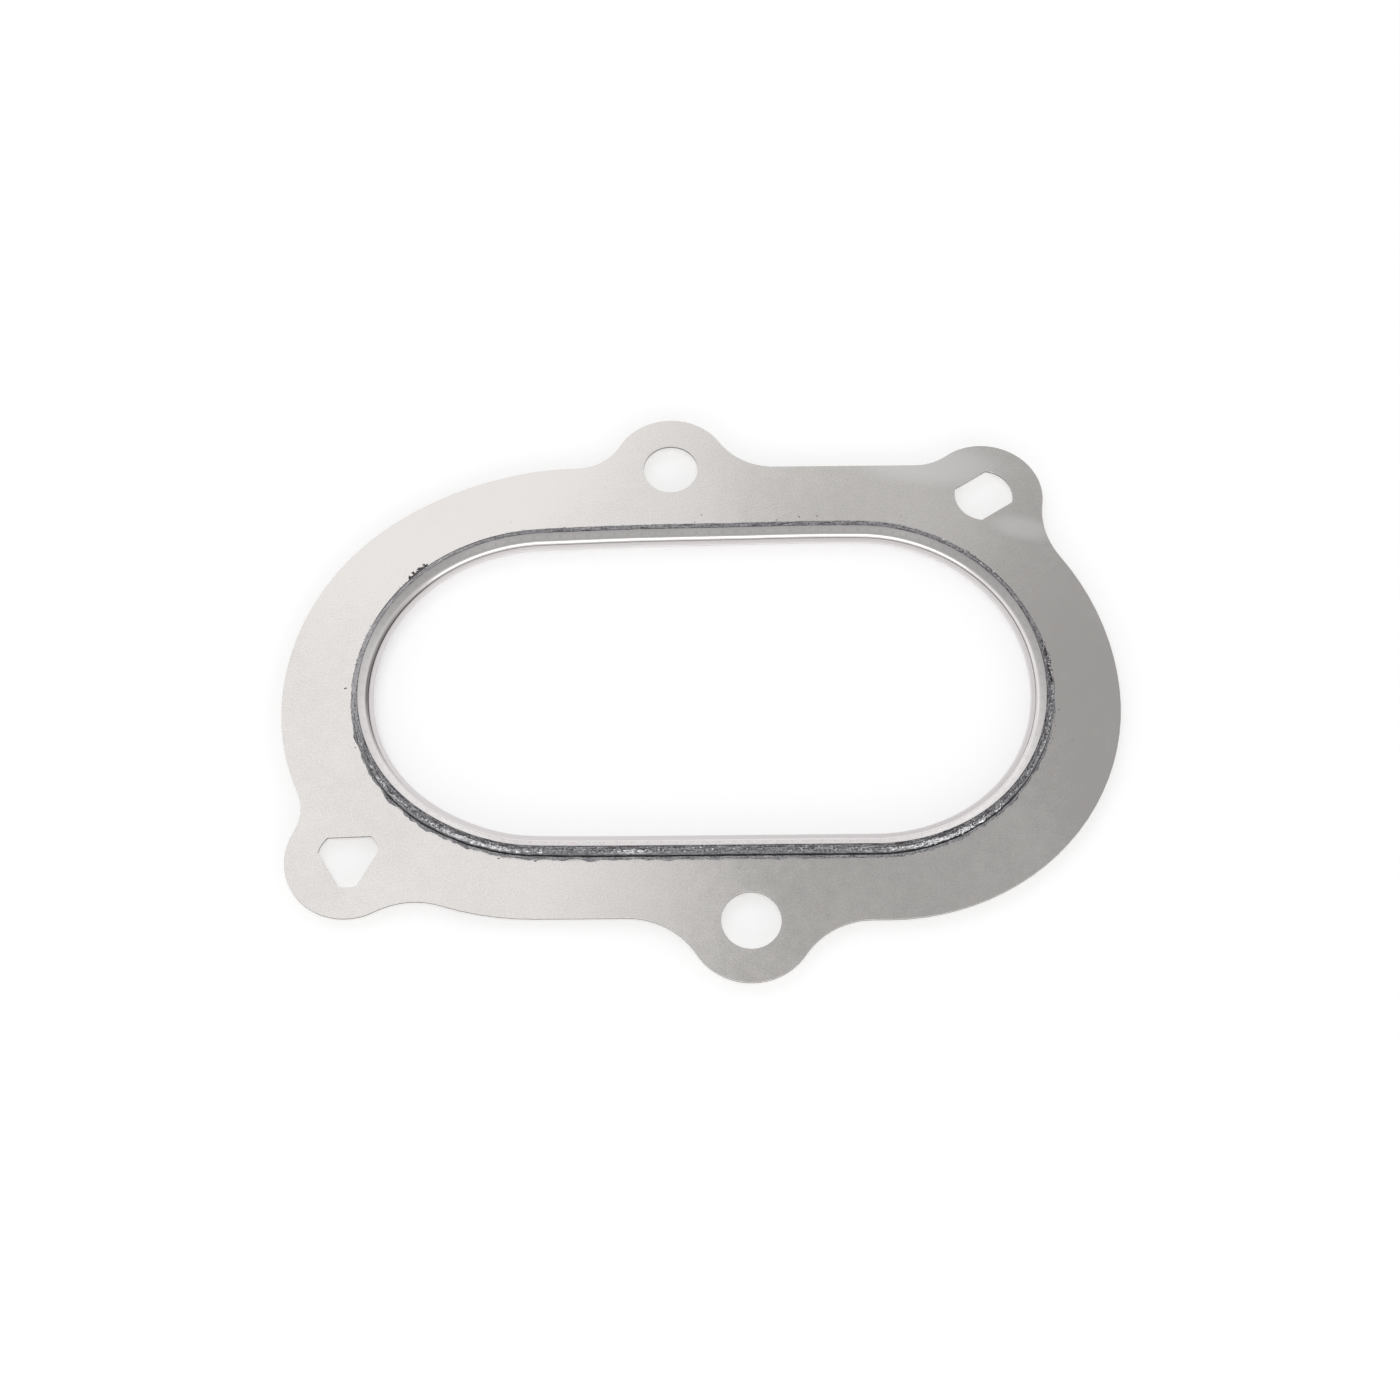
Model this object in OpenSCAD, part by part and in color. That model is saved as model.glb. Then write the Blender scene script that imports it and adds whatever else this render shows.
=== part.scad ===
/* [Carrier plate] */
// Thickness of the stainless plate
plate_t = 0.5; // [0.3:0.1:0.8]
// Distance from the centre line up to the straight top edge
top_edge = 45.2; // [44.4:0.2:47]
// Distance from the centre line down to the bottom edge, left of its ear
bottom_edge_left = 43.2; // [42.6:0.2:45]
// Distance from the centre line down to the bottom edge, right of its ear
bottom_edge_right = 43.8; // [42.6:0.2:45]
// Distance from the middle to the left end
left_end = 73.6; // [72:0.2:76]
// Distance from the middle to the right end
right_end = 72.8; // [72:0.2:76]
// Height of the widest point of both ends, from the centre line
end_level = -1.7; // [-3:0.1:0]
// Radius of the left end above its widest point
left_upper_r = 44.4; // [42:0.2:46]
// Radius of the left end below its widest point
left_lower_r = 41.8; // [40:0.2:44]
// Radius of the right end above its widest point
right_upper_r = 49.4; // [47:0.2:52]
// Radius of the shoulder between the left end and the top edge
top_shoulder_r = 57; // [52:1:70]
// Radius of the shoulder between the lower left ear and the bottom edge
bottom_shoulder_r = 52.4; // [48:0.4:58]
// Distance from the middle to the centre of the bottom shoulder
bottom_shoulder_x = 27.9; // [26:0.1:30]

/* [Ears] */
// Radius of each ear around its hole
ear_r = 10.8; // [9.6:0.2:12]
// Place of the top ear's hole along the gasket
top_ear_x = -5.7; // [-8:0.1:-3]
// Place of the top ear's hole across the gasket
top_ear_y = 44.8; // [43:0.1:47]
// Place of the bottom ear's hole along the gasket
bottom_ear_x = 7.8; // [5:0.1:10]
// Place of the bottom ear's hole across the gasket
bottom_ear_y = -43.7; // [-46:0.1:-42]
// Place of the upper right ear's hole along the gasket
right_ear_x = 51.8; // [50:0.1:54]
// Place of the upper right ear's hole across the gasket
right_ear_y = 38.5; // [37:0.1:40]
// Place of the lower left ear's hole along the gasket
left_ear_x = -59.8; // [-62:0.1:-58]
// Place of the lower left ear's hole across the gasket
left_ear_y = -32.1; // [-34:0.1:-30]
// Fillet radius on the left of the top ear
top_fillet_left = 9; // [7:0.5:12]
// Fillet radius on the right of the top ear
top_fillet_right = 12; // [8:0.5:14]
// Fillet radii beside the bottom ear
bottom_fillet = 13.5; // [9:0.5:16]
// Fillet radius on the left of the upper right ear
right_fillet_top = 9.5; // [7:0.5:12]
// Fillet radius below the upper right ear
right_fillet_side = 15.5; // [10:0.5:18]
// Fillet radius above the lower left ear
left_fillet_side = 8; // [6:0.5:11]
// Fillet radius on the right of the lower left ear
left_fillet_bottom = 14; // [10:0.5:17]

/* [Stud holes] */
// Diameter of the two round holes
round_hole_d = 10; // [9:0.2:11]
// Diameter of the two holes that have flats
flat_hole_d = 10.6; // [10:0.2:11.4]
// Width between the two flats of the upper right hole
two_flat_width = 8.1; // [7.6:0.1:9]
// Direction of those two flats, in degrees
two_flat_angle = 33; // [20:1:50]
// Circle that the three flats of the lower left hole touch
three_flat_d = 7.7; // [7.2:0.1:8.6]
// Direction that the first of the three flats faces, in degrees
three_flat_angle = 92; // [80:1:100]

/* [Sealing ring] */
// Distance from the middle to the centre of each round end
ring_half_length = 28.9; // [24:0.5:30]
// Radius of the round ends at the top edge of the innermost turn
ring_r = 31; // [28:0.5:32]
// Height of the steel strip
strip_h = 4; // [3.4:0.1:4.6]
// Thickness of the steel strip, measured across the turns
strip_t = 0.15; // [0.1:0.01:0.25]
// Thickness of the graphite between two turns of steel
filler_t = 0.18; // [0.12:0.01:0.3]
// How far the graphite stands proud of the steel, above and below
filler_proud = 0.1; // [0.05:0.05:0.2]
// Number of turns that the strip makes outside its plain first turn
turns = 2; // [1:1:3]
// How far the sloping flank of the strip runs in towards the opening
flank_w = 1.2; // [1:0.1:1.4]
// How far the flank drops over that width
flank_drop = 0.8; // [0.6:0.1:1]
// Depth of the strip's bend, from its top edge to its innermost face
bend_w = 1.65; // [1.5:0.05:1.9]
// How far the pressed nose of the first turn reaches in from the top edge
nose_w = 2.55; // [2.2:0.05:2.8]
// Thickness of the last wrap of graphite at its top, where it stands upright over the plate
outer_filler_t = 0.3; // [0.25:0.01:0.4]
// Gap between the plate's inner edge and the graphite at the bottom of its slot
seat_gap = 0.3; // [0.1:0.05:0.5]
// Gap between the graphite and each face of the plate
slot_gap = 0.03; // [0.02:0.01:0.05]

/* [Hidden] */
$fn = 120;
// Centre of each ear's hole
top_ear = [top_ear_x, top_ear_y];
bottom_ear = [bottom_ear_x, bottom_ear_y];
right_ear = [right_ear_x, right_ear_y];
left_ear = [left_ear_x, left_ear_y];
// Angle between two points of an arc in the outline
arc_step = 4;
// Points on each rounded bend of the strip
bend_steps = 5;
// Step that keeps two faces from lying in one another
step = 0.01;
// Overlap that joins a rising stretch of the winding to the round ends
join = 0.1;
// Allowance by which a rising stretch is thinner than the turns it joins, so that it ends inside them
ease = 0.002;
// Distance between one turn of steel and the next
pitch = strip_t + filler_t;
// Height of the nose, which is the strip folded flat on itself
nose_h = 2 * strip_t;
// Outer face of the last turn of steel, from the top edge of the first turn
last_turn = turns * pitch + strip_t;
// Outer face of the last wrap of graphite, from the same edge
ring_wall = last_turn + outer_filler_t;
// Bottom and height of the slot that the plate's edge seats in
slot_floor = last_turn - bend_w + filler_t;
slot_h = plate_t + 2 * slot_gap;
// Radius of the plate's opening
opening_r = ring_r + slot_floor + seat_gap;
// Centre of each round end of the plate's outline
right_upper_c = [right_end - right_upper_r, end_level];
right_lower_r = bottom_edge_right + end_level;
right_lower_c = [right_end - right_lower_r, end_level];
left_upper_c = [left_upper_r - left_end, end_level];
left_lower_c = [left_lower_r - left_end, end_level];
// The shoulders touch the straight edges from inside
top_shoulder_y = top_edge - top_shoulder_r;
top_shoulder_rise = pow(top_shoulder_r - left_upper_r, 2) - pow(end_level - top_shoulder_y, 2);
top_shoulder_c = [left_upper_c.x + sqrt(top_shoulder_rise), top_shoulder_y];
bottom_shoulder_c = [-bottom_shoulder_x, bottom_shoulder_r - bottom_edge_left];

// Point of the circle round c that lies towards another point
function towards(c, r, other) = c + r * (other - c) / norm(other - c);

// Centre of a fillet of radius f that touches two circles from outside
function fillet_between(c1, r1, c2, r2, f, side) =
    let (a = r1 + f, b = r2 + f, gap = c2 - c1, d = norm(gap))
    let (along = (a * a - b * b + d * d) / (2 * d), u = gap / d)
    c1 + along * u + side * sqrt(a * a - along * along) * [-u.y, u.x];

// Centre of a fillet of radius f that touches an ear and a level edge at height y
function fillet_on_edge(c, f, y, side, up) =
    let (level = y + up * f, rise = level - c.y)
    [c.x + side * sqrt(pow(ear_r + f, 2) - rise * rise), level];

// Points of the arc round c from p to q, turning left for way 1 and right for way -1
function arc(c, p, q, way) =
    let (r = norm(p - c), from = atan2(p.y - c.y, p.x - c.x), to = atan2(q.y - c.y, q.x - c.x))
    let (turn = way * (to - from), sweep = turn < 0 ? turn + 360 : turn, n = ceil(sweep / arc_step))
    [for (i = [0 : n - 1]) c + r * [cos(from + way * sweep * i / n), sin(from + way * sweep * i / n)]];

// The fillets beside the four ears, counter-clockwise from the right end
f1 = fillet_between(right_upper_c, right_upper_r, right_ear, ear_r, right_fillet_side, -1);
f2 = fillet_on_edge(right_ear, right_fillet_top, top_edge, -1, 1);
f3 = fillet_on_edge(top_ear, top_fillet_right, top_edge, 1, 1);
f4 = fillet_between(top_shoulder_c, top_shoulder_r, top_ear, ear_r, top_fillet_left, 1);
f5 = fillet_between(left_lower_c, left_lower_r, left_ear, ear_r, left_fillet_side, -1);
f6 = fillet_between(bottom_shoulder_c, bottom_shoulder_r, left_ear, ear_r, left_fillet_bottom, 1);
f7 = fillet_on_edge(bottom_ear, bottom_fillet, -bottom_edge_left, -1, -1);
f8 = fillet_on_edge(bottom_ear, bottom_fillet, -bottom_edge_right, 1, -1);

// The outline's junctions in the same order, each where one arc or edge meets the next
j0 = [right_end, end_level];
j1 = towards(right_upper_c, right_upper_r, f1);
j2 = towards(right_ear, ear_r, f1);
j3 = towards(right_ear, ear_r, f2);
j4 = [f2.x, top_edge];
j5 = [f3.x, top_edge];
j6 = towards(top_ear, ear_r, f3);
j7 = towards(top_ear, ear_r, f4);
j8 = towards(top_shoulder_c, top_shoulder_r, f4);
j9 = towards(top_shoulder_c, top_shoulder_r, left_upper_c);
j10 = [-left_end, end_level];
j11 = towards(left_lower_c, left_lower_r, f5);
j12 = towards(left_ear, ear_r, f5);
j13 = towards(left_ear, ear_r, f6);
j14 = towards(bottom_shoulder_c, bottom_shoulder_r, f6);
j15 = [-bottom_shoulder_x, -bottom_edge_left];
j16 = [f7.x, -bottom_edge_left];
j17 = towards(bottom_ear, ear_r, f7);
j18 = towards(bottom_ear, ear_r, f8);
j19 = [f8.x, -bottom_edge_right];
j20 = [right_lower_c.x, -bottom_edge_right];

plate_outline = concat(
    arc(right_upper_c, j0, j1, 1), arc(f1, j1, j2, -1),
    arc(right_ear, j2, j3, 1), arc(f2, j3, j4, -1), [j4],
    arc(f3, j5, j6, -1), arc(top_ear, j6, j7, 1), arc(f4, j7, j8, -1),
    arc(top_shoulder_c, j8, j9, 1), arc(left_upper_c, j9, j10, 1),
    arc(left_lower_c, j10, j11, 1), arc(f5, j11, j12, -1),
    arc(left_ear, j12, j13, 1), arc(f6, j13, j14, -1),
    arc(bottom_shoulder_c, j14, j15, 1), [j15],
    arc(f7, j16, j17, -1), arc(bottom_ear, j17, j18, 1), arc(f8, j18, j19, -1), [j19],
    arc(right_lower_c, j20, j0, 1));

// Racetrack of two round ends joined by straight sides
module racetrack(half_length, r) {
    square([2 * half_length, 2 * r], center = true);
    for (side = [-1, 1])
        translate([side * half_length, 0])
            circle(r);
}

// Hole with two parallel flats, which slides over a stud and lines the gasket up
module two_flat_hole() {
    rotate(two_flat_angle)
        intersection() {
            circle(d = flat_hole_d);
            square([2 * flat_hole_d, two_flat_width], center = true);
        }
}

// Hole with three flats, whose edges grip the thread of a stud until the nuts are on
module three_flat_hole() {
    rotate(three_flat_angle)
        intersection() {
            circle(d = flat_hole_d);
            rotate(60)
                circle(d = 2 * three_flat_d, $fn = 3);
        }
}

// Thin sheet with four ears, cut out round the sealing ring
module carrier_plate() {
    color([0.72, 0.71, 0.7])
        translate([0, 0, -plate_t / 2])
            linear_extrude(height = plate_t)
                difference() {
                    polygon(plate_outline);
                    racetrack(ring_half_length, opening_r);
                    translate(top_ear)
                        circle(d = round_hole_d);
                    translate(bottom_ear)
                        circle(d = round_hole_d);
                    translate(right_ear)
                        two_flat_hole();
                    translate(left_ear)
                        three_flat_hole();
                }
}

// Face of a turn, from its top edge in along the flank and round the bend, with half height h.
// The first number is the distance in from the top edge of the steel.
function upper_face(h) =
    let (top = strip_h / 2, slope = flank_w / flank_drop)
    let (a = [flank_w, top - flank_drop], c = [bend_w, nose_h / 2 + step])
    let (b = [bend_w, top - flank_drop - (bend_w - flank_w) / slope])
    concat([[(top - h) * slope, h]],
        [for (i = [0 : bend_steps])
            let (s = i / bend_steps)
            (1 - s) * (1 - s) * a + 2 * s * (1 - s) * b + s * s * c]);

// The whole face, with its lower half as a mirror of the upper one
function whole_face(h) =
    let (upper = upper_face(h), n = len(upper))
    concat(upper, [for (i = [n - 1 : -1 : 0]) [upper[i].x, -upper[i].y]]);

// Section of a turn between two distances out from the top edge of the first turn.
// The X axis points out of the opening, with 0 at that top edge.
module turn_section(from, to, h) {
    face = whole_face(h);
    n = len(face);
    polygon(concat(
        [for (p = face) [from - p.x, p.y]],
        [for (i = [n - 1 : -1 : 0]) [to - face[i].x, face[i].y]]));
}

// Section of the last wrap, which fills the bend over and under the plate's edge.
// Its inner face starts at a distance out from the top edge of the first turn.
module last_section(from, h) {
    polygon(concat(
        [for (p = whole_face(h)) [from - p.x, p.y]],
        [[ring_wall, -h], [ring_wall, -slot_h / 2], [slot_floor, -slot_h / 2],
            [slot_floor, slot_h / 2], [ring_wall, slot_h / 2], [ring_wall, h]]));
}

// Section of the nose, the strip pressed flat on itself with a round tip
module nose_section() {
    reach = nose_w - nose_h / 2;
    translate([-reach, -nose_h / 2])
        square([reach - bend_w + strip_t, nose_h]);
    translate([-reach, 0])
        circle(d = nose_h, $fn = 24);
}

// Half turn round one end, with its section as the child. Side 1 is the right end.
module end_turn(side) {
    translate([side * ring_half_length, 0, 0])
        rotate([0, 0, -side * 90])
            rotate_extrude(angle = 180)
                translate([ring_r, 0])
                    children();
}

// Straight stretch between the round ends, with its section as the child. Side 1 is the top.
module straight_run(side) {
    translate([-side * ring_half_length, side * ring_r, 0])
        rotate([90, 0, side * 90])
            linear_extrude(height = 2 * ring_half_length)
                children();
}

// Bottom stretch that moves out by one pitch on its way from the right end to the left
module rising_run() {
    run = 2 * ring_half_length;
    translate([ring_half_length, -ring_r, 0])
        rotate([0, 0, atan(pitch / run)])
            rotate([90, 0, -90])
                translate([0, 0, -join])
                    linear_extrude(height = norm([run, pitch]) + 2 * join)
                        children();
}

// One wrap round both ends and along the top, with its section as the child
module wrap() {
    for (side = [-1, 1])
        end_turn(side)
            children();
    straight_run(1)
        children();
}

// Continuous strip: a plain first turn closed by its weld, then a spiral whose turns the graphite parts
module winding_strip() {
    h = strip_h / 2;
    color([0.8, 0.79, 0.78]) {
        wrap() {
            turn_section(0, strip_t, h);
            nose_section();
        }
        straight_run(-1) {
            turn_section(0, strip_t, h);
            nose_section();
        }
        for (k = [1 : turns]) {
            wrap()
                turn_section(k * pitch, k * pitch + strip_t, h);
            rising_run()
                turn_section((k - 1) * pitch + ease, (k - 1) * pitch + strip_t - ease, h - ease);
        }
    }
}

// Continuous graphite tape outside each turn of the steel, with its start where the first two turns part
module graphite_filler() {
    h = strip_h / 2 + filler_proud;
    color([0.25, 0.25, 0.27]) {
        for (k = [0 : turns - 1])
            wrap()
                turn_section(k * pitch + strip_t, (k + 1) * pitch, h);
        for (k = [1 : 1 : turns - 1])
            rising_run()
                turn_section((k - 1) * pitch + strip_t + ease, k * pitch - ease, h - step);
        wrap()
            last_section(last_turn, h);
        difference() {
            straight_run(-1)
                last_section(last_turn - pitch - strip_t, h);
            rising_run()
                turn_section(-pitch, last_turn - pitch - ease, h + step);
        }
    }
}

carrier_plate();
winding_strip();
graphite_filler();
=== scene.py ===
import math
import random

import bpy
from mathutils import Matrix, Vector, noise


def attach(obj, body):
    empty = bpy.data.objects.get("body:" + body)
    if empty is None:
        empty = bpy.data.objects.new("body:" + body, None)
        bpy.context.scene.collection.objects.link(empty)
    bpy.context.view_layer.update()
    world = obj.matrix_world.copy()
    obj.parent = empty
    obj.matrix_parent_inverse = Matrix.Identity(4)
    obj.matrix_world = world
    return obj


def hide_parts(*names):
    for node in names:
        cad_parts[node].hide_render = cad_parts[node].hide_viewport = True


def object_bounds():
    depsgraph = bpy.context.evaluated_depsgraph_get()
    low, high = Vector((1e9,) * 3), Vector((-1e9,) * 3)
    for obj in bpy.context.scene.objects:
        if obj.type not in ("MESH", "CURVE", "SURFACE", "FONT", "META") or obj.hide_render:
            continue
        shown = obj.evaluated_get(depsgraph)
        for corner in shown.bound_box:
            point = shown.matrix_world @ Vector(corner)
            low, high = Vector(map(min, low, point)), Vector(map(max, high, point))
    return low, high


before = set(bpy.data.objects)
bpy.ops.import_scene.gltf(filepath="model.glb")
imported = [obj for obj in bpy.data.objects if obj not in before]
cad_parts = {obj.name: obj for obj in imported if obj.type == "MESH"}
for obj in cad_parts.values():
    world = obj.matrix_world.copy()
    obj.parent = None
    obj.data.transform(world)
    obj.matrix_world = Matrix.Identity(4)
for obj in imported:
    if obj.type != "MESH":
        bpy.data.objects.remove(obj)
cad_low, cad_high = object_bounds()
MM = 0.001

# ---------------------------------------------------------------------------
# Camera, at the photograph's height and side: about 64 degrees above the
# table, square to the gasket's length, with a 51 mm lens on a 36 mm sensor.
# ---------------------------------------------------------------------------
LENS = 51.27
SENSOR = 36.0
PITCH, ROLL, YAW = math.radians(-26.50), math.radians(-1.25), math.radians(-0.83)
OFFSET = Vector((0.48, -2.58, 349.4)) * MM

look = (Matrix.Rotation(ROLL, 3, "Z") @ Matrix.Rotation(PITCH, 3, "X")
        @ Matrix.Diagonal((1.0, -1.0, -1.0)) @ Matrix.Rotation(YAW, 3, "Z"))
camera_data = bpy.data.cameras.new("photo_camera")
camera_data.sensor_fit = "HORIZONTAL"
camera_data.sensor_width = SENSOR
camera_data.lens = LENS
camera_data.clip_start = 0.01
camera = bpy.data.objects.new("photo_camera", camera_data)
bpy.context.scene.collection.objects.link(camera)
turn = Matrix((look[0], -look[1], -look[2])).transposed()
camera.matrix_world = Matrix.Translation(-(look.transposed() @ OFFSET)) @ turn.to_4x4()
bpy.context.scene.camera = camera
bpy.context.scene.view_settings.view_transform = "Standard"

# ---------------------------------------------------------------------------
# Carrier plate: half-millimetre stainless sheet with a satin rolled finish,
# blanked with its four ears and holes in one stroke, which rounds its edges a
# little and leaves a rough break on their walls. Handling left it slightly wavy.
# ---------------------------------------------------------------------------
PLATE_TONE = (0.705, 0.682, 0.662, 1.0)
PLATE_PALE = (0.815, 0.788, 0.766, 1.0)
BREAK_TONE = (0.24, 0.23, 0.22, 1.0)
PLATE_GLINT_TONE = (0.93, 0.91, 0.895, 1.0)
EDGE_ROUND = 0.05 * MM


class Wire:
    """A socket in a material, which adds and multiplies like a number."""

    def __init__(self, tree, socket=None):
        self.tree = tree
        self.socket = socket

    def node(self, kind, settings, values, out=0):
        made = self.tree.nodes.new(kind)
        for name, value in settings.items():
            setattr(made, name, value)
        for name, value in values.items():
            if isinstance(value, Wire):
                self.tree.links.new(value.socket, made.inputs[name])
            else:
                made.inputs[name].default_value = value
        return Wire(self.tree, made.outputs[out])

    def maths(self, operation, *others):
        """A Math node whose first input is this."""
        return self.node("ShaderNodeMath", {"operation": operation},
                         dict(enumerate((self, *others))))

    def __add__(self, other):
        return self.maths("ADD", other)

    def __sub__(self, other):
        return self.maths("SUBTRACT", other)

    def __mul__(self, other):
        return self.maths("MULTIPLY", other)

    def __rsub__(self, other):
        return self.node("ShaderNodeMath", {"operation": "SUBTRACT"}, {0: other, 1: self})

    __radd__ = __add__
    __rmul__ = __mul__

    def step(self, low, high):
        """0 at low, 1 at high and smooth between them."""
        return self.node("ShaderNodeMapRange", {"interpolation_type": "SMOOTHSTEP"},
                         {"Value": self, "From Min": low, "From Max": high})

    def band(self, start, full, fading, end):
        """1 between two values and 0 outside them, with soft edges."""
        return self.step(start, full) * (1.0 - self.step(fading, end))

    def blend(self, under, over):
        """One colour over another, with this as the mask."""
        return self.node("ShaderNodeMix", {"data_type": "RGBA"},
                         {0: self, 6: under, 7: over}, out=2)

    def mottle(self, place, scale, detail=2.0):
        """Noise from 0 to 1 over a place on the piece."""
        return self.node("ShaderNodeTexNoise", {},
                         {"Vector": place, "Scale": scale, "Detail": detail})

    def parts(self):
        """The three numbers of a vector."""
        made = self.node("ShaderNodeSeparateXYZ", {}, {0: self})
        return [Wire(self.tree, made.socket.node.outputs[i]) for i in range(3)]

    def patch(self, place, centre, turned, radii, soft=0.45):
        """1 inside a soft ellipse on the piece and 0 outside it, with its sizes in millimetres."""
        local = self.node("ShaderNodeMapping", {"vector_type": "TEXTURE"},
                          {"Vector": place,
                           "Location": (centre[0] * MM, centre[1] * MM, 0),
                           "Rotation": (0, 0, math.radians(turned)),
                           "Scale": (radii[0] * MM, radii[1] * MM, 1)})
        away = self.node("ShaderNodeVectorMath", {"operation": "LENGTH"}, {0: local}, out=1)
        return 1.0 - away.step(1.0 - soft, 1.0 + soft)

    def bump(self, height):
        """A normal from a height in metres."""
        return self.node("ShaderNodeBump", {},
                         {"Height": height, "Distance": 1.0, "Strength": 1.0})


def new_finish(name, tone, metallic, roughness):
    """A material, a function that wires one of its sockets, and the start of its maths."""
    material = bpy.data.materials.new(name)
    material.use_nodes = True
    shader = material.node_tree.nodes["Principled BSDF"]
    shader.inputs["Base Color"].default_value = tone
    shader.inputs["Metallic"].default_value = metallic
    shader.inputs["Roughness"].default_value = roughness

    def feed(socket, wire):
        material.node_tree.links.new(wire.socket, shader.inputs[socket])

    return material, feed, Wire(material.node_tree)


def pick(piece):
    """The piece alone, selected and active."""
    bpy.ops.object.select_all(action="DESELECT")
    piece.select_set(True)
    bpy.context.view_layer.objects.active = piece


blanked = bpy.data.objects.new("blanked_plate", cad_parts["carrier_plate"].data.copy())
bpy.context.scene.collection.objects.link(blanked)
blanked.data.name = "blanked_plate"
blanked.data.materials.clear()
pick(blanked)
bpy.ops.object.mode_set(mode="EDIT")
bpy.ops.mesh.select_all(action="SELECT")
bpy.ops.mesh.remove_doubles(threshold=0.001 * MM)
bpy.ops.mesh.dissolve_limited(angle_limit=math.radians(0.5))
bpy.ops.object.mode_set(mode="OBJECT")
rounding = blanked.modifiers.new("edge_round", "BEVEL")
rounding.width = EDGE_ROUND
rounding.segments = 2
rounding.limit_method = "ANGLE"
rounding.angle_limit = math.radians(60)
rounding.harden_normals = True
bpy.ops.object.modifier_apply(modifier=rounding.name)

satin, feed, w = new_finish("satin_stainless_sheet", PLATE_TONE, 1.0, 0.2)
place = w.node("ShaderNodeTexCoord", {}, {}, out=3)
_, _, height = place.parts()
grain = w.mottle(place, 3400.0, 3.0)
cloud = w.mottle(place, 420.0)
haze = w.mottle(place, 46.0, 3.0)
wall = 1.0 - height.maths("ABSOLUTE").step(0.17 * MM, 0.215 * MM)
# painted light and shade: the sheet is painted paler over a broad patch at the upper left and
# darker over one at the right, standing in for how it mirrors the room
painted_light_and_shade = (w.patch(place, (-42, 36), 38, (30, 12), 0.7) * 0.8
          - w.patch(place, (68, -8), 12, (12, 36), 0.7) * 0.9)
tone = (grain * 2.4 + cloud * 0.8 + haze * 1.3 + painted_light_and_shade - 1.7).blend(PLATE_TONE, PLATE_PALE)
# painted reflections: two soft near-white patches on the upper right ear, standing in for the
# brighter room that the sprung sheet mirrors there
painted_ear_glints = (w.patch(place, (42, 45.5), -6, (12, 4.2), 0.5)
        + w.patch(place, (58.6, 31.4), -14, (5.2, 2.1), 0.55))
tone = (painted_ear_glints * 0.75).blend(tone, PLATE_GLINT_TONE)
feed("Base Color", (wall * 0.9).blend(tone, BREAK_TONE))
feed("Roughness", grain * 0.06 + cloud * 0.07 + haze * 0.06 + wall * 0.3 + 0.11)
wave = w.mottle(place, 24.0, 1.0) * (0.16 * MM)
feed("Normal", w.bump(wave + grain * (0.0007 * MM) + cloud * (0.0022 * MM)
                      + wall * grain * (0.01 * MM)))
blanked.data.materials.append(satin)
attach(blanked, "root")
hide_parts("carrier_plate")

# ---------------------------------------------------------------------------
# Sealing ring, steel: thin stainless strip rolled to a V and bent to a race-
# track, its first turn pressed flat at the point and spot-welded closed, two
# more turns wound over it. Handling bent it by under a millimetre in places.
# ---------------------------------------------------------------------------
RING_HALF = 28.9
RING_R = 31.0
STRIP_T = 0.15
STRIP_TOP = 2.0
PITCH_OUT = 0.33
OUTER_TURNS = 2
ROLL_MARKS = 2.45
STRIP_TONE = (0.80, 0.785, 0.778, 1.0)
STRIP_WARM = (0.70, 0.655, 0.655, 1.0)
LIP_TONE = (0.90, 0.86, 0.865, 1.0)
# dark tone for graphite smeared on the strip's top edge, also used for painted shade in the crease
# and a painted dark reflection
SMEAR_AND_SHADE_TONE = (0.13, 0.115, 0.12, 1.0)
# places where the ring is bent and where its graphite reaches further out, each with the
# distance round it from the right end of its top side, the amount outwards and the reach
BENT = ((67, -0.90, 21), (112, 0.35, 16), (142, -0.54, 12.5), (242, 0.50, 18.5),
        (261, -0.25, 47), (6, 0.37, 16))
SPREAD = ((70, -0.30, 12), (89, -0.30, 8), (133, 0.36, 13), (172, 0.20, 22),
          (212, 0.20, 22), (258, 0.26, 12), (284, -0.34, 9))
SPREAD_RISE = 0.8
# the winding's UV map: U is the distance round divided by U_SHRINK, and V has V_BELOW
# more on the lower face than on the upper one
U_SHRINK = 8
V_BELOW = 40.0
ROUND_END = math.pi * RING_R
LAP = 4 * RING_HALF + 2 * ROUND_END


def bare(kind, name, **size):
    """A new primitive under the piece's own name, with nothing else selected."""
    bpy.ops.object.select_all(action="DESELECT")
    getattr(bpy.ops.mesh, kind)(**size)
    made = bpy.context.object
    made.name = made.data.name = name
    return made


def section_loop(name, section):
    """A loop of points, each given by its distance out from the first turn's top edge
    and its height, which starts at the right end of the bottom side."""
    piece = bare("primitive_circle_add", name, vertices=len(section), radius=MM,
                 fill_type="NOTHING")
    for vertex, (reach, level) in zip(piece.data.vertices, section):
        vertex.co = (RING_HALF * MM, -(RING_R + reach) * MM, level * MM)
    bpy.ops.object.mode_set(mode="EDIT")
    bpy.ops.mesh.select_all(action="SELECT")
    return piece


def draw_side(way, rise=0.0):
    """The selected loop is drawn along one straight side, out by a rise where it climbs a turn."""
    bpy.ops.mesh.extrude_region_move(
        TRANSFORM_OT_translate={"value": (way * 2 * RING_HALF * MM, -rise * MM, 0)})


def spin_end(side, steps, way):
    """The selected loop is spun half round one end. The angle's sign is turned, because
    with no window the operator goes the other way."""
    bpy.ops.mesh.spin(steps=steps, angle=-way * math.pi,
                      center=(side * RING_HALF * MM, 0, 0), axis=(0, 0, 1))


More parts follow.
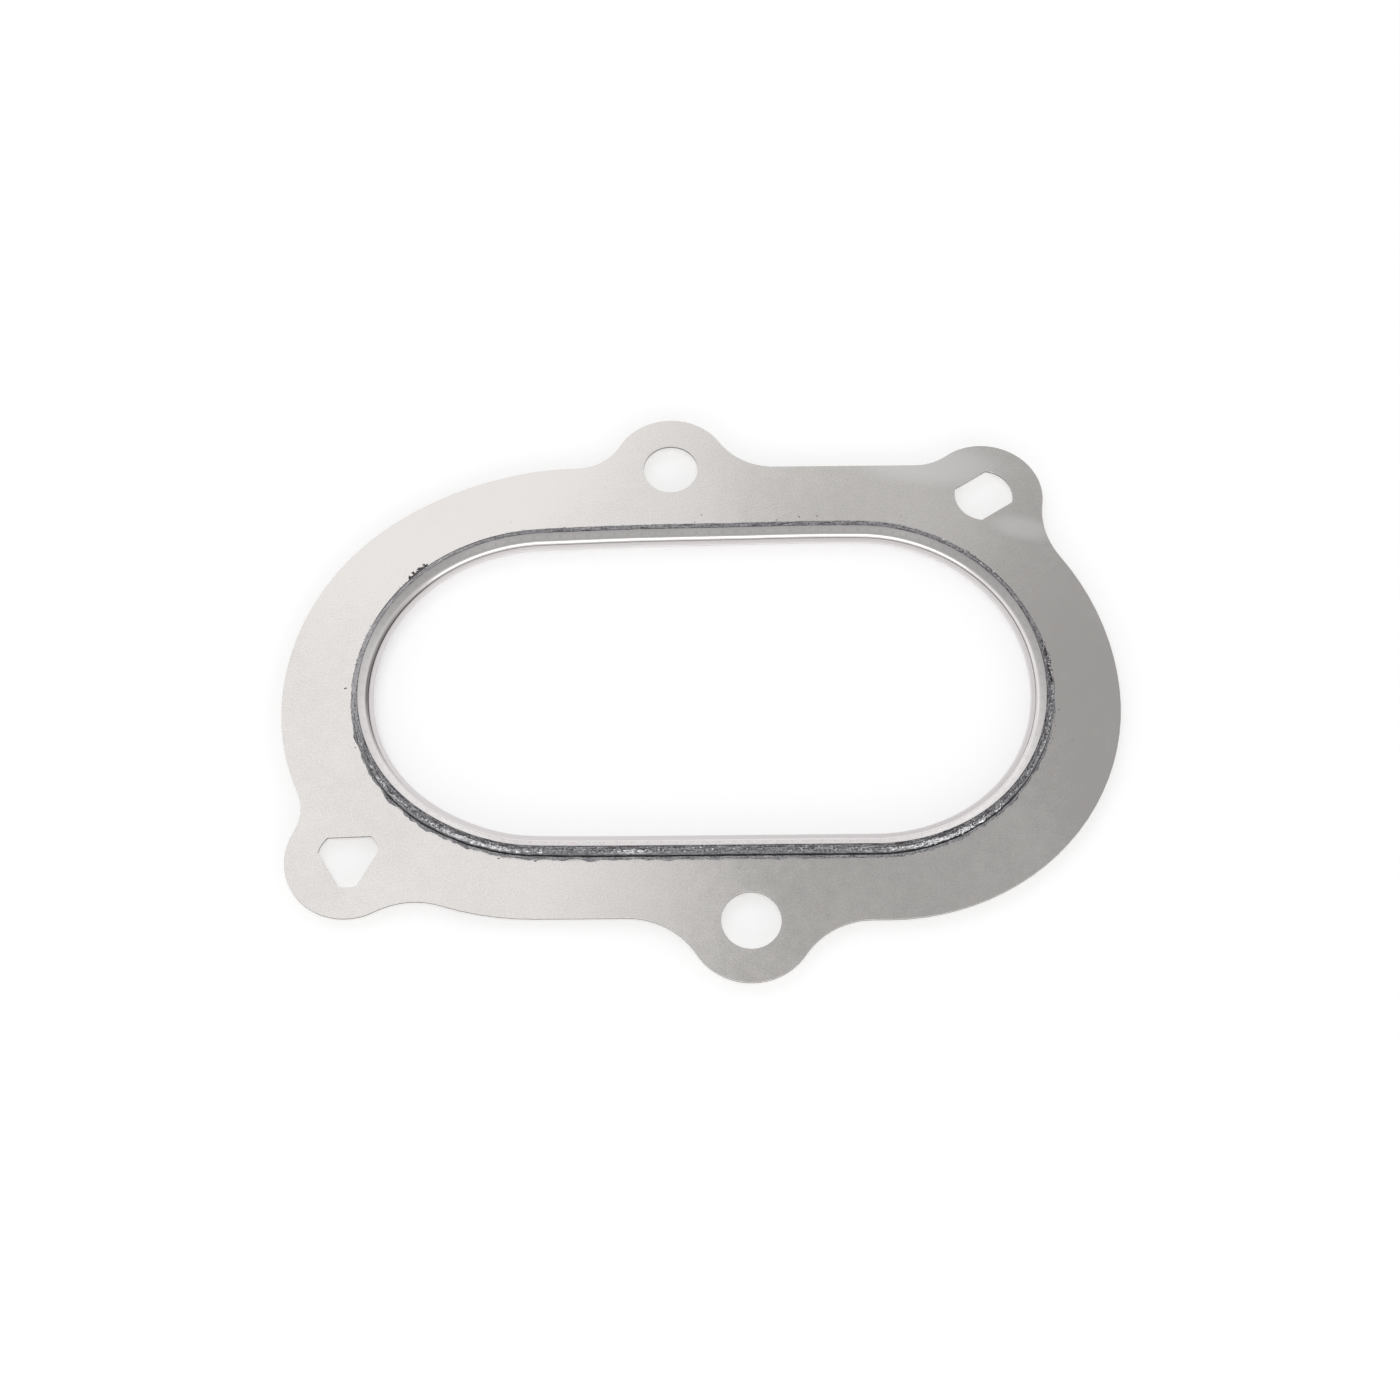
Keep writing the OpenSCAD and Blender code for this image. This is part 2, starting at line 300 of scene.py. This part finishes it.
def finish_wind(piece, side_cuts):
    """Long side faces are cut up, ends joined, faces turned outwards."""
    bpy.ops.mesh.select_all(action="SELECT")
    bpy.ops.mesh.remove_doubles(threshold=0.002 * MM)
    bpy.ops.mesh.select_mode(type="EDGE")
    bpy.ops.mesh.select_all(action="DESELECT")
    bpy.ops.object.mode_set(mode="OBJECT")
    for edge in piece.data.edges:
        a, b = (piece.data.vertices[i].co for i in edge.vertices)
        edge.select = (a - b).length > 1.9 * RING_HALF * MM
    bpy.ops.object.mode_set(mode="EDIT")
    bpy.ops.mesh.subdivide(number_cuts=side_cuts)
    bpy.ops.mesh.select_mode(type="VERT")
    bpy.ops.mesh.select_all(action="SELECT")
    bpy.ops.mesh.normals_make_consistent(inside=False)
    bpy.ops.object.mode_set(mode="OBJECT")


def wind(name, section, arc_cuts, side_cuts):
    """A closed turn: the section is spun round both ends and drawn along both sides."""
    piece = section_loop(name, section)
    for side in (1, -1):
        spin_end(side, arc_cuts, 1)
        draw_side(-side)
    finish_wind(piece, side_cuts)
    return piece


def ring_place(point):
    """Distance round the ring and out from the first turn's top edge, both in
    millimetres, and the way out."""
    x, y = point.x / MM, point.y / MM
    middle = max(-RING_HALF, min(RING_HALF, x))
    reach = math.hypot(x - middle, y)
    outward = Vector(((x - middle) / reach, y / reach, 0))
    if abs(x) < RING_HALF:
        lap = RING_HALF - x if y > 0 else 3 * RING_HALF + ROUND_END + x
    elif x < 0:
        lap = 2 * RING_HALF + RING_R * math.atan2(-outward.x, outward.y)
    else:
        lap = 4 * RING_HALF + ROUND_END + RING_R * math.atan2(outward.x, -outward.y)
    return lap, reach - RING_R, outward


def swell(places, lap):
    """What all the places add up to at a distance round the ring."""
    total = 0.0
    for centre, amount, reach in places:
        away = (lap - centre + LAP / 2) % LAP - LAP / 2
        total += amount * math.exp(-(away / reach) ** 2)
    return total


def lay_and_bend(piece, climb=1.0):
    """A UV map along the winding, then the bends. V is the distance out, and where climb
    is 1 also the distance down from the rim. Only there does the graphite's spread count."""
    mesh = piece.data
    layer = mesh.uv_layers.new(name="track").data
    laps = []
    for vertex in mesh.vertices:
        lap, out, outward = ring_place(vertex.co)
        girth = out + climb * (STRIP_TOP - abs(vertex.co.z) / MM)
        girth += V_BELOW if vertex.co.z < 0 else 0.0
        laps.append((lap, girth, outward))
    for face in mesh.polygons:
        first = laps[face.vertices[0]][0]
        for loop in face.loop_indices:
            lap, girth, _ = laps[mesh.loops[loop].vertex_index]
            if lap - first > LAP / 2:
                lap -= LAP
            elif first - lap > LAP / 2:
                lap += LAP
            layer[loop].uv = (lap / U_SHRINK, girth)
    for vertex, (lap, girth, outward) in zip(mesh.vertices, laps):
        share = (ring_place(vertex.co)[1] - STRIP_T) / SPREAD_RISE
        share = climb * max(0.0, min(1.0, share))
        vertex.co += outward * (swell(BENT, lap) + share * swell(SPREAD, lap)) * MM


def bend_line(start, corner, end, steps):
    """Points of a smooth bend from start to end, pulled towards a corner."""
    return [tuple((1 - t) ** 2 * a + 2 * t * (1 - t) * b + t * t * c
                  for a, b, c in zip(start, corner, end))
            for t in (i / steps for i in range(steps + 1))]


flank = [(0.0, STRIP_TOP), (0.30, 1.80), (0.62, 1.587)]
crest = bend_line((0.95, 1.367), (1.66, 0.893), (1.66, 0.42), 14)
lip = [(1.67, 0.25), (1.72, 0.19), (1.85, 0.165), (2.1, 0.16), (2.35, 0.145), (2.46, 0.125),
       (2.53, 0.085), (2.55, 0.03)]
front = flank + crest + lip
front = front + [(x, -z) for x, z in reversed(front)]
plain = flank + crest
plain = plain + [(x, -z) for x, z in reversed(plain)]
outside = [(STRIP_T - x, z) for x, z in reversed(plain)]
first_turn = wind("first_turn", [(-x, z) for x, z in front] + outside, 128, 60)
lay_and_bend(first_turn, climb=0.0)
pick(first_turn)
bpy.ops.object.shade_smooth_by_angle(angle=math.radians(25))

outer_turns = section_loop("outer_turns", [(-x, z) for x, z in plain] + outside)
bpy.ops.mesh.edge_face_add()
for _ in range(OUTER_TURNS):
    draw_side(-1, PITCH_OUT)
    spin_end(-1, 96, -1)
    draw_side(1)
    spin_end(1, 96, -1)
finish_wind(outer_turns, 50)
lay_and_bend(outer_turns, climb=0.0)
pick(outer_turns)
bpy.ops.object.shade_smooth_by_angle(angle=math.radians(25))

rolled, feed, w = new_finish("rolled_stainless_strip", STRIP_TONE, 1.0, 0.2)
track = w.node("ShaderNodeUVMap", {"uv_map": "track"}, {})
round_it, out, _ = track.parts()
round_it = round_it * U_SHRINK
out = (out + 3.0).maths("FLOORED_MODULO", V_BELOW) - 3.0
drawn = w.mottle(track, 9.0, 3.0)
rolls = (round_it * (2 * math.pi / ROLL_MARKS)).maths("SINE")
rolls = rolls.step(0.2, 1.0) * out.band(-1.1, -0.8, -0.6, -0.3)
stain = w.mottle(w.node("ShaderNodeTexCoord", {}, {}, out=3), 160.0, 2.0)
on_lip = 1.0 - out.step(-1.80, -1.68)
# painted reflection: a dark band on the wall under the crest at the left end, standing in for
# something dark that the wall mirrors
at_left = round_it.band(74, 98, 108, 130)
painted_dark_reflection = at_left * out.step(-1.74, -1.68) * (1.0 - out.step(-1.62, -0.85)).maths("POWER", 1.6)
# painted shade: darker in the concave corner between crest and lip, and a little darker on the
# flank near the top edge
crease_shade = out.band(-1.76, -1.70, -1.655, -1.62) * 0.6 + out.step(-0.75, -0.05) * 0.10
smeared = (out + drawn * 0.06).step(-0.03, 0.02) * 0.92
tone = (drawn * 0.35 + stain * 0.6 + rolls * 0.35 - 0.15).blend(STRIP_TONE, STRIP_WARM)
tone = on_lip.blend(tone, LIP_TONE)
feed("Base Color", (painted_dark_reflection * 0.9 + crease_shade + smeared).blend(tone, SMEAR_AND_SHADE_TONE))
feed("Metallic", 1.0 - on_lip * 0.45 - smeared * 0.6)
feed("Roughness", drawn * 0.12 + stain * 0.08 + on_lip * 0.28 + smeared * 0.35 + 0.10)
feed("Normal", w.bump(drawn * (0.0016 * MM) + stain * (0.012 * MM)))
for piece in (first_turn, outer_turns):
    piece.data.materials.append(rolled)
    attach(piece, "root")
    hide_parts("winding_strip")

# ---------------------------------------------------------------------------
# Sealing ring, graphite: soft expanded-graphite tape wound in with the strip.
# It is pressed out over the strip's edges as a rough rim, stands upright over
# the plate on both faces, and holds the plate's edge in the slot of its V.
# ---------------------------------------------------------------------------
GRAPHITE_DARK = (0.06, 0.06, 0.068, 1.0)
GRAPHITE_MID = (0.56, 0.55, 0.57, 1.0)
GRAPHITE_BLACK = (0.012, 0.012, 0.014, 1.0)
FLECK_GLINT_TONE = (0.90, 0.90, 0.92, 1.0)
RIM_LIMIT = 2.095
TAPE_CUTS = (330, 190)

rim = [(0.15, 1.9), (0.14, 1.99), (0.0, 2.0), (-0.02, 2.02)]
rim += [(0.05 + 0.08 * i, 2.035) for i in range(11)]
rim += [(0.91, 2.01), (0.96, 1.96), (0.985, 1.88)]
rim += [(1.0 + 0.0075 * i, 1.72 - 0.17 * i) for i in range(8)] + [(1.07, 0.38), (1.07, 0.285)]
slot = [(-0.72, 0.28), (-0.72, -0.28)]
hidden = [(STRIP_T - x, z) for x, z in reversed(plain[2:-2])]
tape = wind("graphite_tape", rim + slot + [(x, -z) for x, z in reversed(rim)] + hidden, *TAPE_CUTS)
lay_and_bend(tape)
roughen = tape.vertex_groups.new(name="rough")
torn = tape.vertex_groups.new(name="torn")
# torn places, each with its distance round the ring, its reach and how badly it is torn
TORN = ((145, 9, 1.0), (128, 9, 0.5), (172, 4, 0.9), (223, 11, 1.0), (250, 5, 0.5),
        (83, 5, 0.4), (263, 7, 0.6), (14, 10, 0.3))


def torn_at(lap):
    """How far the graphite is torn up at a place round the ring, from 0 to 1."""
    return max(much * math.exp(-((lap - centre) / reach) ** 2) for centre, reach, much in TORN)


# only what stands free of the plate and of the strip is rough
for vertex in tape.data.vertices:
    lap, out, _ = ring_place(vertex.co)
    level = abs(vertex.co.z) / MM
    own = out - swell(BENT, lap)
    if level > 0.34 and own > -0.5 and not (own < 0.16 and level < 1.95):
        free = min(1.0, (level - 0.34) / 0.3)
        roughen.add([vertex.index], free, "REPLACE")
        torn.add([vertex.index], free * torn_at(lap), "REPLACE")


def displace(piece, name, size, amount, group, middle=0.5):
    """The piece's surface is roughened by a texture laid along the winding."""
    texture = bpy.data.textures.new(name, "CLOUDS")
    texture.noise_scale = size
    texture.noise_depth = 2
    rough = piece.modifiers.new(name, "DISPLACE")
    rough.texture = texture
    rough.texture_coords = "UV"
    rough.uv_layer = "track"
    rough.strength = amount * MM
    rough.mid_level = middle
    rough.vertex_group = group
    pick(piece)
    bpy.ops.object.modifier_apply(modifier=rough.name)


displace(tape, "pressed_streaks", 0.35, 0.16, "rough")
displace(tape, "fibre_ends", 0.12, 0.10, "rough", middle=0.6)
displace(tape, "torn_places", 0.5, 0.34, "torn", middle=0.6)
for vertex in tape.data.vertices:
    vertex.co.z = max(-RIM_LIMIT * MM, min(RIM_LIMIT * MM, vertex.co.z))
pick(tape)
bpy.ops.object.shade_smooth_by_angle(angle=math.radians(50))

tear = tape.data.attributes.new("torn_up", "FLOAT", "POINT")
tear.data.foreach_set("value", [torn_at(ring_place(vertex.co)[0]) for vertex in tape.data.vertices])

# flash that the press squeezed out over both faces of the plate
FOOT_START = 1.10
FOOT_LEVEL = 0.256
foot = [(FOOT_START, 0.26), (1.15, 0.38), (1.24, 0.42), (1.40, 0.38), (1.60, 0.32), (1.78, 0.285),
        (1.95, 0.262), (1.95, FOOT_LEVEL)]
flash = wind("graphite_flash", foot, *TAPE_CUTS)
for vertex in flash.data.vertices:
    lap, out, outward = ring_place(vertex.co)
    near = 0.5 - 0.5 * outward.y
    ragged = noise.noise(Vector((lap / 2.6, 0, 3))) + 0.5 * noise.noise(Vector((lap / 0.8, 5, 3)))
    spread = (0.10 + 0.78 * near ** 1.2) * (0.78 + 0.75 * ragged)
    spread = max(0.04, min(1.30, spread))
    lumps = 1.0 + 0.5 * noise.noise(Vector((lap / 0.6, out * 4, 9)))
    vertex.co -= outward * (out - FOOT_START) * (1 - spread) * MM
    risen = (vertex.co.z / MM - FOOT_LEVEL) * min(1.0, 0.3 + spread) * lumps
    vertex.co.z = (FOOT_LEVEL + risen) * MM
lay_and_bend(flash)
under = flash.copy()
under.data = flash.data.copy()
bpy.context.scene.collection.objects.link(under)
pick(under)
bpy.ops.object.mode_set(mode="EDIT")
bpy.ops.mesh.select_all(action="SELECT")
bpy.ops.transform.resize(value=(1, 1, -1), center_override=(0, 0, 0))
bpy.ops.mesh.flip_normals()
bpy.ops.object.mode_set(mode="OBJECT")
flash.select_set(True)
bpy.context.view_layer.objects.active = flash
bpy.ops.object.join()
bpy.ops.object.shade_smooth_by_angle(angle=math.radians(50))

pressed, feed, w = new_finish("pressed_graphite", GRAPHITE_DARK, 0.4, 0.4)
track = w.node("ShaderNodeUVMap", {"uv_map": "track"}, {})
round_it, girth, _ = track.parts()
round_it = round_it * U_SHRINK
stretched = w.node("ShaderNodeMapping", {}, {"Vector": track, "Scale": (0.45, 1.0, 1.0)})
streak = w.mottle(stretched, 7.0, 4.0)
fibre = w.mottle(track, 22.0, 2.0)
spot = w.mottle(w.node("ShaderNodeTexCoord", {}, {}, out=3), 2600.0, 2.0)
shreds = w.mottle(track, 4.5, 3.0)
tear = w.node("ShaderNodeAttribute", {"attribute_name": "torn_up"}, {}, out=2)
upright = girth.maths("FLOORED_MODULO", V_BELOW)
near_side = round_it.band(112, 128, 258, 276)
belt = upright.band(0.35, 0.7, 1.6, 2.2)
# flecks of torn foil, real, with their near-white colour a painted glint; more of them where the
# tape is torn
foil = fibre * 0.4 + spot * 0.3 + shreds * 0.3 + tear * belt * 0.10 + belt * near_side * 0.05
foil = foil.step(0.60, 0.63)
# painted shadow: near black low on the upright wall, in the shaded gap at its foot by the plate,
# and less metallic there
crevice_shade = upright.band(2.12, 2.36, 2.76, 2.82)
painted_light_left = round_it.band(58, 84, 104, 120)
# painted shade: a dark line along the graphite's inner edge, where it stands over the strip's top
# edge
edge_shade = 1.0 - upright.step(0.02, 0.16)
on_plate = upright.step(2.84, 2.90)
tone = (streak - 0.5) * 2.4 + (fibre - 0.5) * 2.2 + (spot - 0.5) * 1.4 + 0.50
# painted shade and light: the graphite is painted darker on the near side, lighter at the left end,
# and lighter up the near side's wall
tone = tone - near_side * 0.14 - on_plate * 0.06 + painted_light_left * 0.38
tone = tone + upright.step(1.0, 1.3) * near_side * 0.2
tone = foil.blend(tone.blend(GRAPHITE_DARK, GRAPHITE_MID), FLECK_GLINT_TONE)
feed("Base Color", (crevice_shade * 0.95 + edge_shade * 0.6).blend(tone, GRAPHITE_BLACK))
feed("Metallic", 0.72 - crevice_shade * 0.5 - foil * 0.35)
feed("Roughness", 0.42 - foil * 0.2 + streak * 0.12)
feed("Normal", w.bump(streak * (0.03 * MM) + fibre * (0.03 * MM) + spot * (0.03 * MM)
                      + foil * shreds * (0.10 * MM)))
for piece in (tape, flash):
    piece.data.materials.append(pressed)
    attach(piece, "root")
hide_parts("graphite_filler")

# ---------------------------------------------------------------------------
# Sealing ring, loose graphite: scraps of the tape's foil, torn up at its rim in
# winding and handling, and crumbs of it that dropped on the plate and stuck.
# ---------------------------------------------------------------------------
PLATE_TOP = 0.25
DULL_FOIL = (0.26, 0.26, 0.29, 1.0)
SCRAP_GLINT_TONE = (0.98, 0.98, 0.99, 1.0)
CRUMB_TONE = (0.27, 0.26, 0.26, 1.0)
# torn stretches, each with its middle and reach round the ring, the number of scraps, the
# range over the rim that they lie in and their size; those that reach over 50 are even
SCRAPS = ((146, 10, 240, 0.70, 1.25, 2.3), (172, 2.6, 34, 0.35, 1.4, 1.4),
          (222, 11, 230, 0.55, 2.1, 1.7), (226, 6, 34, 0.6, 1.6, 3.2),
          (249, 4, 20, 0.5, 1.1, 1.2), (185, 75, 330, 0.40, 2.0, 0.8),
          (290, 6, 14, 0.3, 1.0, 1.3), (285, 14, 50, 0.2, 0.75, 0.8),
          (0, 150, 80, 0.3, 1.0, 0.6))
# drops, each with its middle and reach round the ring, the number of crumbs, the range out
# from the first turn, the largest size and how high they may cling to the graphite
DROPS = ((0, 155, 70, 1.3, 5.5, 0.06, 0), (81.6, 1.9, 190, 0.95, 2.1, 0.20, 0.8),
         (85.5, 1.6, 26, 0.9, 1.2, 0.10, 1.0), (264.7, 4.3, 260, 0.6, 1.40, 0.13, 1.6),
         (155, 30, 24, 1.6, 2.6, 0.05, 0), (220, 60, 50, 1.2, 2.0, 0.06, 0),
         (290.5, 1.6, 30, 0.9, 1.3, 0.11, 1.2), (105, 12, 34, 0.9, 1.15, 0.09, 1.7),
         (30, 45, 60, 0.9, 1.15, 0.08, 1.7))
# single crumbs on the plate, each with its place and size
SPECKS = ((21.1, 34.4, 0.11), (17.8, 34.2, 0.13), (13.7, 33.6, 0.10), (0.0, 34.8, 0.10),
          (-1.3, 33.3, 0.09), (-60.6, 7.6, 0.07), (-62.6, -0.1, 0.17), (-60.1, -11.6, 0.10),
          (-28.3, -32.9, 0.17), (-34.5, -32.4, 0.13), (59.8, -12.0, 0.07), (60.3, -11.0, 0.08),
          (61.0, -8.6, 0.08), (60.9, -7.8, 0.07), (61.9, -5.5, 0.09), (60.3, -9.8, 0.06),
          (33.3, 33.2, 0.08), (36.4, 34.2, 0.08), (49.8, -25.8, 0.07), (-60.4, -9.1, 0.05))
dice = random.Random(7)


def scatter(name, source, spots):
    """Copies of a small piece at each spot, which is a placing matrix, joined to one piece."""
    copies = []
    for spot in spots:
        twin = bpy.data.objects.new(name, source.data.copy())
        twin.data.transform(spot)
        bpy.context.scene.collection.objects.link(twin)
        copies.append(twin)
    bpy.data.objects.remove(source)
    bpy.ops.object.select_all(action="DESELECT")
    for twin in copies:
        twin.select_set(True)
    bpy.context.view_layer.objects.active = copies[0]
    bpy.ops.object.join()
    whole = bpy.context.object
    whole.name = whole.data.name = name
    return whole


def ring_spot(lap, out, level):
    """The place in space for a distance round the bent ring, a distance out and a height,
    with the ways out and along."""
    lap %= LAP
    if lap < 2 * RING_HALF:
        middle, outward = Vector((RING_HALF - lap, 0, 0)), Vector((0, 1, 0))
    elif lap < 2 * RING_HALF + ROUND_END:
        turned = math.pi / 2 + (lap - 2 * RING_HALF) / RING_R
        middle = Vector((-RING_HALF, 0, 0))
        outward = Vector((math.cos(turned), math.sin(turned), 0))
    elif lap < 4 * RING_HALF + ROUND_END:
        middle, outward = Vector((lap - 3 * RING_HALF - ROUND_END, 0, 0)), Vector((0, -1, 0))
    else:
        turned = -math.pi / 2 + (lap - 4 * RING_HALF - ROUND_END) / RING_R
        middle = Vector((RING_HALF, 0, 0))
        outward = Vector((math.cos(turned), math.sin(turned), 0))
    spot = middle + outward * (RING_R + out + swell(BENT, lap)) + Vector((0, 0, level))
    return spot * MM, outward, Vector((-outward.y, outward.x, 0))


scrap = bare("primitive_grid_add", "torn_foil", x_subdivisions=5, y_subdivisions=3, size=2.0)
for vertex in scrap.data.vertices:
    x, y = vertex.co.x, vertex.co.y
    vertex.co.y = y * (1.0 - 0.55 * abs(x)) + 0.18 * noise.noise(Vector((x * 2, y, 4)))
    vertex.co.z = 0.35 * noise.noise(Vector((x * 1.7, y * 1.3, 2))) + 0.25 * y * y
thick = scrap.modifiers.new("thick", "SOLIDIFY")
thick.thickness = 0.12
pick(scrap)
bpy.ops.object.modifier_apply(modifier=thick.name)
spots = []
for centre, reach, number, low_edge, high_edge, big in SCRAPS:
    even = reach > 50
    for _ in range(number):
        if even:
            lap = centre + reach * (2 * dice.random() - 1)
        else:
            lap = dice.gauss(centre, reach * 0.6)
        girth = low_edge + (high_edge - low_edge) * dice.random()
        face = dice.choice((1, 1, 1, -1)) if even else 1
        out, level = (girth, 2.02) if girth < 0.97 else (1.02, 2.0 - (girth - 0.97))
        place, outward, onward = ring_spot(lap, out, level * face)
        tilt = max(0.0, min(0.45, (girth - 0.7) / 0.5))
        facing = (outward * tilt + Vector((0, 0, face)) * (1.05 - tilt)).normalized()
        facing = (facing + Vector([0.38 * dice.gauss(0, 1) for _ in range(3)])).normalized()
        length = (0.09 + 0.15 * dice.random()) * big
        side = facing.cross(onward).normalized()
        fore = side.cross(facing)
        swing = Matrix.Rotation(dice.gauss(0, 0.35), 4, facing)
        breadth = length * (0.6 if big < 2 else 0.42)
        axes = Matrix((fore * length, side * breadth, facing * breadth)).transposed().to_4x4()
        lifted = Matrix.Translation(place + facing * (0.05 if big > 1 else 0.02) * MM)
        placed = lifted @ swing @ Matrix.Scale(MM, 4) @ axes
        if max(abs((placed @ vertex.co).z) for vertex in scrap.data.vertices) < RIM_LIMIT * MM:
            spots.append(placed)
torn_foil = scatter("torn_foil", scrap, spots)
bright_foil, feed, w = new_finish("torn_graphite_foil", FLECK_GLINT_TONE, 0.35, 0.25)
place = w.node("ShaderNodeTexCoord", {}, {}, out=3)
# the scraps are real torn foil: their near-white patches are a painted glint, and the rest keeps
# the foil's dull tone
glint_mottle = w.mottle(place, 1500.0, 2.0)
feed("Base Color", glint_mottle.step(0.34, 0.46).blend(DULL_FOIL, SCRAP_GLINT_TONE))
feed("Roughness", glint_mottle * 0.2 + 0.12)
torn_foil.data.materials.append(bright_foil)

crumb = bare("primitive_ico_sphere_add", "graphite_crumbs", subdivisions=1, radius=1.0)
for vertex in crumb.data.vertices:
    vertex.co *= 1.0 + 0.5 * noise.noise(vertex.co * 1.3)
    vertex.co.z *= 0.6
spots = []
for centre, reach, number, from_out, to_out, most, high_up in DROPS:
    for _ in range(number):
        lap = centre + reach * (2 * dice.random() - 1)
        out = from_out + (to_out - from_out) * dice.random() ** 1.7
        size = most * (0.35 + 0.65 * dice.random() ** 2)
        face = 1 if high_up else dice.choice((1, 1, -1))
        level = PLATE_TOP + size * 0.42 + high_up * dice.random() if out > 1.0 else 2.0
        place, _, _ = ring_spot(lap, out, face * level)
        if abs(place.x) < 0.070 and abs(place.y) < 0.040:
            spots.append(Matrix.Translation(place)
                         @ Matrix.Rotation(dice.random() * 6.28, 4, "Z")
                         @ Matrix.Diagonal((size * MM * (1 + dice.random()),
                                            size * MM, size * MM, 1)))
for x, y, size in SPECKS:
    spots.append(Matrix.Translation(Vector((x, y, PLATE_TOP + size * 0.2)) * MM)
                 @ Matrix.Rotation(x, 4, "Z")
                 @ Matrix.Diagonal((size * MM * 1.8, size * MM * 0.8, size * MM * 0.5, 1)))
crumbs = scatter("graphite_crumbs", crumb, spots)
loose, feed, w = new_finish("loose_graphite", GRAPHITE_DARK, 0.3, 0.6)
place = w.node("ShaderNodeTexCoord", {}, {}, out=3)
along, _, _ = place.parts()
fluff = w.mottle(place, 2600.0, 2.0)
fluff = fluff * 1.6 - 0.4 - along.step(56 * MM, 58 * MM) * 0.45
feed("Base Color", fluff.blend(GRAPHITE_BLACK, CRUMB_TONE))
crumbs.data.materials.append(loose)
for piece in (torn_foil, crumbs):
    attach(piece, "root")

# ---------------------------------------------------------------------------
# Table and light: a white table that shows a little brighter than it is lit, a
# white room that is brighter low down and darker in one patch at the right, and
# soft boxes over the left, the back and the near side, with a low one in front.
# ---------------------------------------------------------------------------
TABLE_TONE = (0.84, 0.84, 0.84, 1.0)
TABLE_GLOW = 0.35
WHITE = (1, 1, 1, 1)

floor = bare("primitive_plane_add", "table", size=8.0, location=(0, 0, cad_low.z))
bpy.ops.object.transform_apply(location=True, rotation=True, scale=True)
table, feed, w = new_finish("white_table", TABLE_TONE, 0.0, 0.9)
surface = table.node_tree.nodes["Principled BSDF"]
surface.inputs["Specular IOR Level"].default_value = 0.0
rays = w.node("ShaderNodeLightPath", {}, {})
seen = [Wire(w.tree, rays.socket.node.outputs[name])
        for name in ("Is Camera Ray", "Is Glossy Ray", "Is Transmission Ray")]
shown = seen[0].maths("MAXIMUM", seen[1]).maths("MAXIMUM", seen[2])
glow = w.node("ShaderNodeEmission", {}, {"Color": WHITE, "Strength": shown * TABLE_GLOW})
total = w.node("ShaderNodeAddShader", {}, {0: glow, 1: Wire(w.tree, surface.outputs[0])})
w.tree.links.new(total.socket, w.tree.nodes["Material Output"].inputs["Surface"])
floor.data.materials.append(table)

world = bpy.data.worlds.new("studio")
bpy.context.scene.world = world
world.use_nodes = True
w = Wire(world.node_tree)
east, north, up = w.node("ShaderNodeTexCoord", {}, {}).parts()
room = 1.18 - up.step(0.02, 0.68) * 0.73
room = room + east.step(0.25, 0.75) * up.band(0.25, 0.42, 0.55, 0.72) * 0.25
patch = east.step(0.72, 0.86) * north.band(0.15, 0.35, 0.55, 0.70) * (1.0 - up.step(0.16, 0.26))
room = room - patch * 0.9
rays = w.node("ShaderNodeLightPath", {}, {})
camera_ray = Wire(w.tree, rays.socket.node.outputs["Is Camera Ray"])
backdrop = world.node_tree.nodes["Background"]
backdrop.inputs["Color"].default_value = WHITE
w.tree.links.new((room + camera_ray * (1.0 - room)).socket, backdrop.inputs["Strength"])


def softbox(name, size, spot, glow, turned=None):
    """A rectangular soft light of an even brightness, where 1 is white. It faces straight
    down, turned by some degrees, or else the gasket's middle."""
    lamp = bpy.data.lights.new(name, "AREA")
    lamp.shape = "RECTANGLE"
    lamp.size, lamp.size_y = size
    lamp.energy = glow * math.pi * size[0] * size[1]
    holder = bpy.data.objects.new(name, lamp)
    bpy.context.scene.collection.objects.link(holder)
    holder.location = spot
    if turned is None:
        holder.rotation_euler = (-Vector(spot)).to_track_quat("-Z", "Y").to_euler()
    else:
        holder.rotation_euler = (0, 0, math.radians(turned))


softbox("left_box", (0.6, 0.8), (-0.302, 0.38, 0.70), 0.56, turned=-7.5)
softbox("back_box", (0.16, 0.22), (0.085, 0.52, 0.70), 0.22, turned=20)
softbox("top_box", (0.6, 0.3), (0.0, -0.33, 1.08), 2.4)
softbox("front_box", (2.6, 0.5), (0.0, -1.0, 0.35), 1.0)
